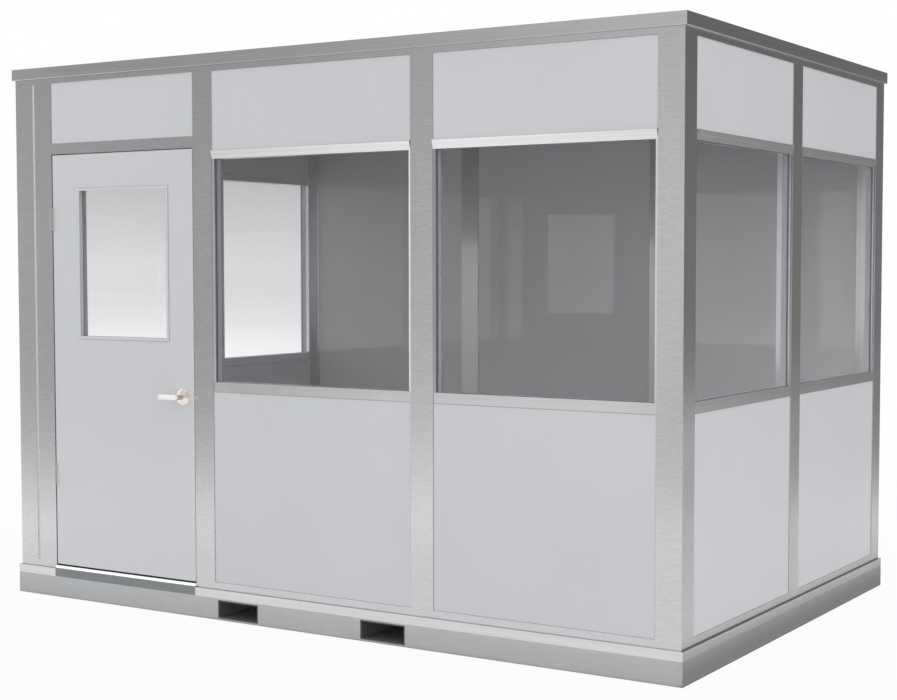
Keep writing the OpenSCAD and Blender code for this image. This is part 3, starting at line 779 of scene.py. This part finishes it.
# Seals of the door: cross-sections and insets in mm
BULB = [
    (-1, 0), (1, 0), (2.6, 0.8), (3, 2.4), (1.8, 3.9), (0, 4.4), (-1.8, 3.9), (-3, 2.4), (-2.6, 0.8),
]
BULB_INSET = 9
SWEEP = [
    (4, 0), (40, 0), (40, -2.6), (37, -3.7), (34, -2.8), (22, -2.8), (19, -3.7), (16, -2.8), (8, -2.8),
    (4, -3.7),
]
SWEEP_INSET = 2


def door_bulbs(form):
    """A bulb seal up both door stops and along the upper one."""
    low, high = corners("door_stops")
    inset = BULB_INSET * MM
    left, right, top = low.x + inset, high.x - inset, high.z - inset
    for x in (left, right):
        strip(form, (Vector((x, low.y, low.z)), Vector((x, low.y, top))), RIGHT, -BACK, BULB)
    strip(form, (Vector((left, low.y, top)), Vector((right, low.y, top))), UP, -BACK, BULB)


def door_sweep(form):
    """A ribbed sweep under the leaf."""
    low, high = corners("door_leaf")
    inset = SWEEP_INSET * MM
    ends = (Vector((low.x + inset, low.y, low.z)), Vector((high.x - inset, low.y, low.z)))
    strip(form, ends, BACK, UP, SWEEP)


def door_lite_seals(form):
    """Seals around the door's window on both faces of the leaf."""
    flange, leaf = corners("door_glass_frame"), corners("door_leaf")
    box = [Vector((at.x, face.y, at.z)) for at, face in zip(flange, leaf)]
    edgings(form, [box], "front", FLANGE_HIDDEN, FLANGE_SEAL)


def add_door_seals():
    """Bulb seal on the door stops, a sweep under the leaf and seals around its window."""
    add_piece("door_weatherstrip", "office", RUBBER, door_bulbs)
    add_piece("door_sweep", "door", RUBBER, door_sweep)
    add_piece("door_lite_seals", "door", SEAL, door_lite_seals)


# Screws: outlines as shares of the head's radius and height
HEAD_STEPS = 24
HEAD_RING_SHARES = [(1, 0), (0.96, 0.45), (0.84, 0.8), (0.62, 1)]
CROSS_SHARES = [
    (0.1, 0.1), (0.1, 0.46), (-0.1, 0.46), (-0.1, 0.1), (-0.46, 0.1), (-0.46, -0.1),
    (-0.1, -0.1), (-0.1, -0.46), (0.1, -0.46), (0.1, -0.1), (0.46, -0.1), (0.46, 0.1),
]
CROSS_FLOOR_SHARE = 0.25
# Radius and height of the heads, thickness of the hinge leaves and insets of the screws, in mm
HINGE_HEAD = (4.1, 0.6)
HINGE_PLATE_T = 1.8
HINGE_SCREW_DEPTHS = (10, 19)
LITE_HEAD = (3.4, 1.1)
LITE_HEAD_INSET = 6.5
SILL_HEAD = (5, 1.2)
SILL_SCREW_BACK = 13
# Places of the screws along what they hold
HINGE_SCREW_SHARES = {"frame": (0.1, 0.37, 0.63, 0.9), "door": (0.16, 0.42, 0.58, 0.84)}
LITE_SHARES = (0.04, 0.27, 0.5, 0.73, 0.96)
SILL_SHARES = (0.06, 0.28, 0.5, 0.72, 0.94)


def screw_head(form, centre, axis, radius, height):
    """A low round head with a cross recess; sizes in mm."""
    side = axis.orthogonal().normalized()
    other = axis.cross(side)

    def at(u, v, rise):
        return centre + (side * u + other * v) * radius * MM + axis * rise * height * MM

    turns = [math.tau * i / HEAD_STEPS for i in range(HEAD_STEPS)]
    rings = []
    for reach, rise in HEAD_RING_SHARES:
        rings.append([form.verts.new(at(reach * math.cos(t), reach * math.sin(t), rise)) for t in turns])
    for first, second in zip(rings, rings[1:]):
        join_loops(form, first, second)
    rim = [form.verts.new(at(u, v, 1)) for u, v in CROSS_SHARES]
    floor = [form.verts.new(at(u, v, CROSS_FLOOR_SHARE)) for u, v in CROSS_SHARES]
    join_loops(form, rim, floor)
    form.faces.new(floor)
    fill_between(form, rings[-1], rim)


def add_screws(name, body, places, axis, head):
    """Several screws of one kind."""
    def build(form):
        for place in places:
            screw_head(form, Vector(place), axis, *head)

    add_piece(name, body, NICKEL, build)


def along_span(low, high, share):
    """A place between two ends."""
    return low + share * (high - low)


def add_hinge_screws():
    """Screws of the hinge leaves on the post and on the door."""
    post_low, post_high = corners("front_hinge_post")
    thick = HINGE_PLATE_T * MM
    sides = {
        "frame": ("office", post_high.x + thick, RIGHT),
        "door": ("door", corners("door_leaf")[0].x - thick, -RIGHT),
    }
    for side, (body, x, axis) in sides.items():
        places = []
        for low, high in solid_boxes("frame_hinge_leaves"):
            for i, share in enumerate(HINGE_SCREW_SHARES[side]):
                y = post_low.y + HINGE_SCREW_DEPTHS[i % len(HINGE_SCREW_DEPTHS)] * MM
                places.append((x, y, along_span(low.z, high.z, share)))
        add_screws(f"{side}_hinge_screws", body, places, axis, HINGE_HEAD)


def add_lite_screws():
    """Screws of the door light's inner frame."""
    low, high = corners("door_glass_frame")
    inset = LITE_HEAD_INSET * MM
    left, right, bottom, top = low.x + inset, high.x - inset, low.z + inset, high.z - inset
    places = []
    for share in LITE_SHARES:
        places += [(x, high.y, along_span(bottom, top, share)) for x in (left, right)]
    for share in LITE_SHARES[1:-1]:
        places += [(along_span(left, right, share), high.y, z) for z in (bottom, top)]
    add_screws("lite_frame_screws", "door", places, BACK, LITE_HEAD)


def add_threshold_screws():
    """Screws of the threshold."""
    low, high = corners("threshold")
    y = high.y - SILL_SCREW_BACK * MM
    places = [(along_span(low.x, high.x, share), y, high.z) for share in SILL_SHARES]
    add_screws("threshold_screws", "office", places, UP, SILL_HEAD)


# Latch: half width, half height and thickness of the plates, in mm, and sections of bolt and lip
FACEPLATE = (14.3, 28.6, 1)
STRIKE = (14.3, 35, 1.2)
STRIKE_HOLE = (8, 12)
PLATE_ROUND = 4
ROUND_STEPS = 4
QUADRANTS = ((1, 1), (-1, 1), (-1, -1), (1, -1))
BOLT = [(-6, 0), (6, 0), (6, 2.2), (3, 2.2), (-6, 1.2)]
BOLT_HALF_H = 10
STRIKE_LIP = [(-1.2, 12), (-1.2, 0.6), (-0.8, -0.8), (0.4, -1.2), (22, -1.2), (22.6, 0), (0, 0), (0, 12)]
STRIKE_LIP_HALF_H = 6
LEAF_BEVEL = 2.8


def rounded_outline(half_a, half_b):
    """Points around a plate with round corners, in mm."""
    points = []
    for i, (sign_a, sign_b) in enumerate(QUADRANTS):
        for step in range(ROUND_STEPS + 1):
            turn = math.tau / len(QUADRANTS) * (i + step / ROUND_STEPS)
            points.append((
                sign_a * (half_a - PLATE_ROUND) + PLATE_ROUND * math.cos(turn),
                sign_b * (half_b - PLATE_ROUND) + PLATE_ROUND * math.sin(turn),
            ))
    return points


def plate(form, centre, axis, half_a, half_b, thick, hole=None):
    """A flat plate that stands on a face, with a hole through it if given; sizes in mm."""
    across = UP.cross(axis)

    def ring(points, rise):
        return [form.verts.new(centre + (across * a + UP * b + axis * rise) * MM) for a, b in points]

    outline = rounded_outline(half_a, half_b)
    foot, face = ring(outline, 0), ring(outline, thick)
    join_loops(form, foot, face)
    if hole is None:
        form.faces.new(face)
        return
    opening = rounded_outline(*hole)
    deep, rim = ring(opening, 0), ring(opening, thick)
    join_loops(form, deep, rim)
    fill_between(form, face, rim)


def upright(middle, half_h):
    """The two ends of an upright length; its half height in mm."""
    return (middle - UP * half_h * MM, middle + UP * half_h * MM)


def add_latch():
    """Latch plate and bolt in the door's edge, and the strike plate on the post."""
    leaf_low, leaf_high = corners("door_leaf")
    post_low = corners("front_latch_post")[0]
    z = sum(corners("door_lever"), Vector()).z / 2
    y = (leaf_low.y + leaf_high.y) / 2
    edge = Vector((leaf_high.x - LEAF_BEVEL / 2 * MM, y, z))
    edge_out = Vector((leaf_high.y - leaf_low.y, LEAF_BEVEL * MM, 0)).normalized()

    def faceplate(form):
        plate(form, edge, edge_out, *FACEPLATE)

    def bolt(form):
        strip(form, upright(edge, BOLT_HALF_H), UP.cross(edge_out), edge_out, BOLT)

    def strike(form):
        plate(form, Vector((post_low.x, y, z)), -RIGHT, *STRIKE, STRIKE_HOLE)
        lip = upright(Vector((post_low.x, post_low.y, z)), STRIKE_LIP_HALF_H)
        strip(form, lip, RIGHT, BACK, STRIKE_LIP)

    add_piece("latch_faceplate", "door", NICKEL, faceplate)
    add_piece("latch_bolt", "door", NICKEL, bolt)
    add_piece("strike_plate", "office", STEEL, strike)


# Lever collars: radius and distance from the leaf, in mm
COLLAR_STEPS = 48
COLLAR = [(11.05, 14), (12, 14.2), (12, 46), (12.4, 47.6), (11.05, 48)]


def lever_collars(form):
    """A sleeve around the lever's hub on each side of the door."""
    leaf_low, leaf_high = corners("door_leaf")
    hub = sum(corners("door_roses"), Vector()) / 2
    for y, way in ((leaf_low.y, -BACK), (leaf_high.y, BACK)):
        centre = Vector((hub.x, y, hub.z))
        loops = []
        for i in range(COLLAR_STEPS):
            turn = math.tau * i / COLLAR_STEPS
            spoke = RIGHT * math.cos(turn) + UP * math.sin(turn)
            loops.append([
                form.verts.new(centre + (way * rise + spoke * radius) * MM) for radius, rise in COLLAR
            ])
        for i, loop in enumerate(loops):
            join_loops(form, loop, loops[(i + 1) % COLLAR_STEPS])


# Cover strip of a roof joint: place across the joint and height, in mm
SEAM_STRIP = [(-30, 0), (30, 0), (27, 1.6), (-27, 1.6)]


def roof_seam_strips(form):
    """Cover strips over the joints of the roof panels, between the fascias."""
    panels = solid_boxes("roof_panels")
    front = corners("front_fascia")[1].y
    back = corners("back_fascia")[0].y
    for first, second in zip(panels, panels[1:]):
        x, z = (first[1].x + second[0].x) / 2, first[1].z
        strip(form, (Vector((x, front, z)), Vector((x, back, z))), RIGHT, UP, SEAM_STRIP)


def add_pieces():
    """All pieces that the model leaves to the looks."""
    add_wall_seals()
    add_head_trims()
    add_front_header_seals()
    add_door_seals()
    add_hinge_screws()
    add_lite_screws()
    add_threshold_screws()
    add_latch()
    add_piece("lever_collars", "lever", COLLAR_BRONZE, lever_collars)
    add_piece("roof_seam_strips", "office", FASCIA, roof_seam_strips)


# Studio

# Brightness of the surroundings by bearing, in degrees from the back (+Y) towards the right (+X)
BEARING_LEVELS = [
    (-180, 0.42), (-170, 0.60), (-160, 1.04), (-155, 1.02), (-145, 0.68), (-134, 0.48), (-126, 1.0),
    (-118, 1.8), (-90, 1.1), (-45, 1.0), (-20, 0.8), (0, 0.45), (15, 0.27), (60, 0.27), (100, 0.35),
    (150, 0.42), (180, 0.42),
]
# Brightness of the light on matt surfaces by the same bearing
ROOM_LEVELS = [(-180, 1.15), (-60, 1.14), (30, 1.2), (90, 1.36), (150, 1.2), (180, 1.15)]
# Brightness of the backdrop in metal by the sine of the height over the horizon
HEIGHT_LEVELS = [(-1, 0.74), (0, 0.74), (0.06, 0.68), (0.15, 0.56), (0.45, 0.58), (0.8, 1.0), (1, 1.0)]
# The same through the glass
GLASS_LEVELS = [(-1, 0.86), (0, 0.86), (0.06, 0.58), (0.15, 0.52), (0.45, 0.65), (0.8, 1.0), (1, 1.0)]
# Light that comes in through the windows is stronger by this share
WINDOW_GAIN_SHARE = 0.45
# Floor: half its width, its distance under the office, its colour and its roughness
FLOOR_REACH = 70.0
FLOOR_DROP = 0.5 * MM
FLOOR_COLOUR = (0.7, 0.7, 0.7, 1)
FLOOR_ROUGH = 0.9
# To the eye the floor is this share white at the office, and all white from the second distance on
FLOOR_GLOW_SHARE = 0.92
FLOOR_GLOW_ENDS = (2.6, 12.0)
# Brightness of the floor in metal and behind the glass by the distance from the middle
FLOOR_LEVELS = [(1.5, 0.78), (2.7, 0.80), (3.4, 0.86), (4.4, 1.12), (6.5, 1.0), (12, 1.0)]
BEHIND_LEVELS = [(2.6, 1.3), (12, 1.3), (22, 1.14), (40, 0.96), (70, 0.88)]
# Share of the near floor's brightness in metal by the distance from the middle
NEAR_SHARES = [(2.6, 1), (5, 0.68), (9, 0.24), (14, 0.03), (40, 0)]
# Shade of the near floor in metal along the right wall, by the place across the office
RIGHT_SHARES = [
    (1.7, 1), (1.83, 1), (1.85, 0.28), (2.0, 0.36), (2.14, 0.84), (2.4, 0.84), (3, 0.74), (3.8, 0.58),
    (4.3, 0.62), (5, 0.95), (6, 2.1), (7.5, 3), (14, 3),
]
# Share of the surroundings' brightness that the far floor has in metal
HORIZON_SHARE = 0.66
# A ray with fewer matt bounces than this has had none
FIRST_BOUNCE = 0.5


def bearing_level(tree, x, y, levels):
    """Brightness of the surroundings in one direction of the plan."""
    bearing = math_node(tree, "DEGREES", math_node(tree, "ARCTAN2", x, y))
    return level_ramp(tree, bearing, levels)


def glow(tree, kind, strength):
    """White light from the backdrop or the floor."""
    node = tree.nodes.new(kind)
    set_inputs(tree, node, {"Color": WHITE, "Strength": strength})
    return node.outputs[0]


def seen_directly(tree, path, kind):
    """One for rays that metal or glass sends straight to the eye, or else zero."""
    direct = math_node(tree, "LESS_THAN", path.outputs["Diffuse Depth"], FIRST_BOUNCE)
    return times(tree, direct, path.outputs[kind])


def studio_dome():
    """Even soft light from all around, white to the camera and graded where metal and glass show it."""
    world = bpy.data.worlds.new("studio")
    world.use_nodes = True
    world.cycles.sampling_method = "NONE"
    bpy.context.scene.world = world
    tree = world.node_tree
    tree.nodes.clear()
    path = tree.nodes.new("ShaderNodeLightPath")
    x, y, z = split_place(tree, "Generated")
    level = bearing_level(tree, x, y, BEARING_LEVELS)
    gain = math_node(tree, "MULTIPLY_ADD", path.outputs["Is Transmission Ray"], WINDOW_GAIN_SHARE, 1.0)
    room = times(tree, bearing_level(tree, x, y, ROOM_LEVELS), gain)
    light = glow(tree, "ShaderNodeBackground", room)
    in_metal = glow(tree, "ShaderNodeBackground", times(tree, level_ramp(tree, z, HEIGHT_LEVELS), level))
    in_glass = glow(tree, "ShaderNodeBackground", times(tree, level_ramp(tree, z, GLASS_LEVELS), level))
    white = glow(tree, "ShaderNodeBackground", 1.0)
    shown = mix_shaders(tree, seen_directly(tree, path, "Is Glossy Ray"), light, in_metal)
    shown = mix_shaders(tree, seen_directly(tree, path, "Is Transmission Ray"), shown, in_glass)
    shown = mix_shaders(tree, path.outputs["Is Camera Ray"], shown, white)
    output = tree.nodes.new("ShaderNodeOutputWorld")
    tree.links.new(shown, output.inputs["Surface"])


def floor_in_metal(tree, x, reach, level):
    """Brightness of the floor where metal shows it: near the office, and further off as the backdrop."""
    near = times(tree, level_ramp(tree, x, RIGHT_SHARES), level_ramp(tree, reach, FLOOR_LEVELS))
    far = times(tree, level, HORIZON_SHARE)
    closer = math_node(tree, "SUBTRACT", near, far)
    return math_node(tree, "ADD", far, times(tree, level_ramp(tree, reach, NEAR_SHARES), closer))


def floor_material():
    """A pale matt floor, white to the camera around the office and graded where metal and glass show it."""
    material, tree, shader = new_material("studio_floor")
    material.cycles.emission_sampling = "NONE"
    set_inputs(tree, shader, {
        "Base Color": FLOOR_COLOUR, "Roughness": FLOOR_ROUGH, "Specular IOR Level": 0.0,
    })
    matt = shader.outputs["BSDF"]
    path = tree.nodes.new("ShaderNodeLightPath")
    x, y, _ = split_place(tree, "Object")
    reach = math_node(tree, "SQRT", math_node(tree, "ADD", times(tree, x, x), times(tree, y, y)))
    level = bearing_level(tree, x, y, BEARING_LEVELS)
    fade = between(tree, reach, FLOOR_GLOW_SHARE, 1, FLOOR_GLOW_ENDS)
    bright = mix_shaders(tree, fade, matt, glow(tree, "ShaderNodeEmission", 1.0))
    in_metal = glow(tree, "ShaderNodeEmission", floor_in_metal(tree, x, reach, level))
    in_glass = glow(tree, "ShaderNodeEmission", times(tree, level, level_ramp(tree, reach, BEHIND_LEVELS)))
    shown = mix_shaders(tree, path.outputs["Is Camera Ray"], matt, bright)
    shown = mix_shaders(tree, seen_directly(tree, path, "Is Glossy Ray"), shown, in_metal)
    shown = mix_shaders(tree, seen_directly(tree, path, "Is Transmission Ray"), shown, in_glass)
    tree.links.new(shown, tree.nodes["Material Output"].inputs["Surface"])
    return material


def studio_floor():
    """A pale floor that keeps a soft shadow at the office and is white around it."""
    mesh = bpy.data.meshes.new("studio_floor")
    outline = [(a * FLOOR_REACH, b * FLOOR_REACH, -FLOOR_DROP) for a, b in QUADRANTS]
    mesh.from_pydata(outline, [], [tuple(range(len(outline)))])
    mesh.materials.append(floor_material())
    floor = bpy.data.objects.new("studio_floor", mesh)
    bpy.context.scene.collection.objects.link(floor)


def turned(degrees, axis):
    """A turn around one axis."""
    return Matrix.Rotation(math.radians(degrees), MATRIX_SIZE, axis)


def photo_camera():
    """The camera of the photograph."""
    camera = bpy.data.cameras.new("photo_camera")
    camera.sensor_width = SENSOR_MM
    camera.lens = FOCAL_PX / PHOTO_W * SENSOR_MM
    camera.shift_x = -CENTRE_OFF_PX[0] / PHOTO_W
    camera.shift_y = CENTRE_OFF_PX[1] / PHOTO_W
    camera.clip_end = 2 * FLOOR_REACH
    holder = bpy.data.objects.new("photo_camera", camera)
    turn = turned(CAMERA_TURN, "Z")
    dip = turned(LEVEL_TILT - CAMERA_DIP, "X")
    roll = turned(CAMERA_ROLL, "Z")
    holder.matrix_world = Matrix.Translation(CAMERA_PLACE) @ turn @ dip @ roll
    bpy.context.scene.collection.objects.link(holder)
    bpy.context.scene.camera = holder


photo_camera()
finish_nodes()
add_pieces()
studio_dome()
studio_floor()

bpy.context.scene.view_settings.view_transform = "Standard"
